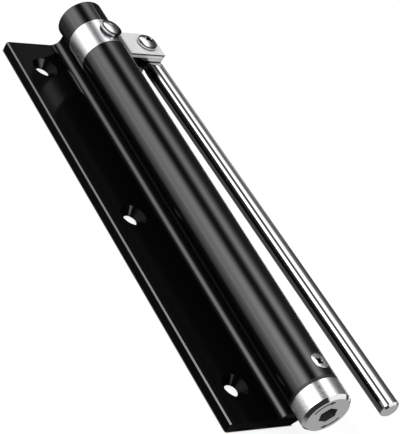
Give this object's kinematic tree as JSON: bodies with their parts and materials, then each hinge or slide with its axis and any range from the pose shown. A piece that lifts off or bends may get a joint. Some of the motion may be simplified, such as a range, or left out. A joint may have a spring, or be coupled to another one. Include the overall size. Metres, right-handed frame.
{
  "type": "spring door closer",
  "caption": "Surface-mounted spring door closer: black extruded leaf and tube with a torsion spring inside, a chrome strap arm with a folding rod, and a tension adjuster.",
  "frame": {"origin": "axis of the middle screw hole, in the plane of the mounting face. The holes begin 1 mm above it, in the channel", "axes": "+Y along the tube towards the arm, +Z out of the mounting face, +X across the leaf towards the tube and rod"},
  "size_m": [0.0653, 0.2164, 0.0316],
  "materials": {
    "black_anodised": "gloss black anodised",
    "black_plastic": "moulded black",
    "nylon": "moulded",
    "chrome": "bright chrome plate",
    "turned_steel": "turned and ground",
    "zinc_steel": "bright zinc plate",
    "spring_steel": "drawn and oiled",
    "brass": "turned"
  },
  "bodies": {
    "housing": {"housing": "black_anodised", "end_plug": "black_plastic", "upper_bush": "nylon", "lower_bush": "nylon", "adjuster_bush": "black_plastic", "lock_screw": "chrome"},
    "arm": {"spindle": "turned_steel", "arm_bracket": "chrome", "bracket_screw": "chrome", "pivot_screw": "chrome", "pivot_washer": "zinc_steel", "pivot_nut": "zinc_steel", "upper_spring_carrier": "brass", "upper_carrier_pin": "turned_steel"},
    "rod": {"rod": "chrome"},
    "adjuster": {"tension_adjuster": "chrome", "lower_spring_carrier": "brass", "lower_carrier_pin": "turned_steel", "spring_guide": "nylon", "torsion_spring": "spring_steel"}
  },
  "joints": [
    {"name": "arm_swing", "type": "hinge", "parent": "housing", "child": "arm", "pos_m": [0.0183, 0.0834, 0.0187], "axis": [0, -1, 0], "range_deg": [0, 130], "stiffness_Nm_per_rad": 0.4, "springref_deg": -28.65, "deforming": ["torsion_spring"]},
    {"name": "rod_fold", "type": "hinge", "parent": "arm", "child": "rod", "pos_m": [0.0414, 0.0834, 0.0187], "axis": [0, 0, 1], "range_deg": [-4, 180]},
    {"name": "tension_adjust", "type": "hinge", "parent": "housing", "child": "adjuster", "pos_m": [0.0183, -0.1135, 0.0187], "axis": [0, 1, 0], "range_deg": [0, 720], "deforming": ["torsion_spring"]}
  ]
}
